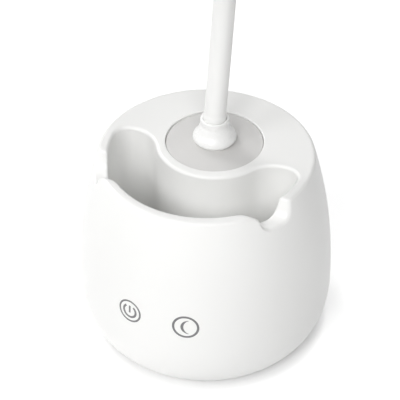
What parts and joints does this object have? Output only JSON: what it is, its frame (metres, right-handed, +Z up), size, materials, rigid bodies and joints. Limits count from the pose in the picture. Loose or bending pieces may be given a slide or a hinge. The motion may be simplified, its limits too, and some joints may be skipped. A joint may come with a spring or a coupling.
{
  "type": "desk lamp with pen holder",
  "caption": "Desk lamp on a gooseneck, with a barrel base that has a crescent pen pocket, phone notches in its rim, touch controls and a round night light.",
  "frame": {"origin": "on the table under the middle of the barrel base, at the underside of the anti-slip pad", "axes": "+Z up; -Y is the front, with the touch controls and the pen pocket, towards which the head reaches; +X is to the right seen from the front"},
  "size_m": [0.128, 0.2518, 0.3608],
  "materials": {
    "shell": "satin",
    "diffuser": "satin",
    "lens": "satin",
    "sleeve": "satin",
    "collar": "gloss",
    "rubber": "matte",
    "steel": "satin",
    "cast": "matte",
    "board": "satin",
    "light_board": "satin",
    "cell_skin": "satin",
    "nylon": "matte",
    "copper": "satin"
  },
  "bodies": {
    "base": {"base_shell": "shell", "bottom_cover": "nylon", "anti_slip_pad": "rubber", "ballast_plate": "cast", "cover_screw_1": "steel", "cover_screw_2": "steel", "cover_screw_3": "steel", "cover_screw_4": "steel", "main_board": "board", "board_screw_1": "steel", "board_screw_2": "steel", "board_screw_3": "steel", "charging_socket": "steel", "battery_cradle": "nylon", "battery_cell": "cell_skin", "touch_pad_power": "copper", "touch_pad_night": "copper", "night_light_board": "light_board", "night_light_diffuser": "diffuser", "neck_collar": "collar", "neck_root": "steel", "neck_nut": "steel"},
    "neck_1": {"neck_link_1": "sleeve"},
    "neck_2": {"neck_link_2": "sleeve"},
    "neck_3": {"neck_link_3": "sleeve"},
    "neck_4": {"neck_link_4": "sleeve"},
    "neck_5": {"neck_link_5": "sleeve"},
    "neck_6": {"neck_link_6": "sleeve"},
    "neck_7": {"neck_link_7": "sleeve"},
    "neck_8": {"neck_link_8": "sleeve"},
    "head": {"head_root": "steel", "head_collar": "collar", "head_shell": "shell", "head_nut": "steel", "head_led_board": "light_board", "head_diffuser": "lens", "head_screw_1": "steel", "head_screw_2": "steel", "head_screw_3": "steel"}
  },
  "joints": [
    {"name": "neck_bend_1", "type": "hinge", "parent": "base", "child": "neck_1", "pos_m": [0, 0.0107, 0.11866], "axis": [1, 0, 0], "range_deg": [-15, 15]},
    {"name": "neck_bend_2", "type": "hinge", "parent": "neck_1", "child": "neck_2", "pos_m": [0, 0.01779, 0.156], "axis": [0, 0.9833, -0.1822], "range_deg": [-15, 15]},
    {"name": "neck_bend_3", "type": "hinge", "parent": "neck_2", "child": "neck_3", "pos_m": [0, 0.02422, 0.19345], "axis": [1, 0, 0], "range_deg": [-15, 15]},
    {"name": "neck_bend_4", "type": "hinge", "parent": "neck_3", "child": "neck_4", "pos_m": [0, 0.02836, 0.23121], "axis": [0, 0.9981, -0.0611], "range_deg": [-15, 15]},
    {"name": "neck_bend_5", "type": "hinge", "parent": "neck_4", "child": "neck_5", "pos_m": [0, 0.02687, 0.26911], "axis": [1, 0, 0], "range_deg": [-15, 15]},
    {"name": "neck_bend_6", "type": "hinge", "parent": "neck_5", "child": "neck_6", "pos_m": [0, 0.01519, 0.30507], "axis": [0, 0.8829, 0.4695], "range_deg": [-15, 15]},
    {"name": "neck_bend_7", "type": "hinge", "parent": "neck_6", "child": "neck_7", "pos_m": [0, -0.00906, 0.33397], "axis": [1, 0, 0], "range_deg": [-15, 15]},
    {"name": "neck_bend_8", "type": "hinge", "parent": "neck_7", "child": "neck_8", "pos_m": [0, -0.04297, 0.3505], "axis": [0, 0.2419, 0.9703], "range_deg": [-15, 15]},
    {"name": "head_tilt", "type": "hinge", "parent": "neck_8", "child": "head", "pos_m": [0, -0.08068, 0.35314], "axis": [1, 0, 0], "range_deg": [-15, 15]}
  ]
}
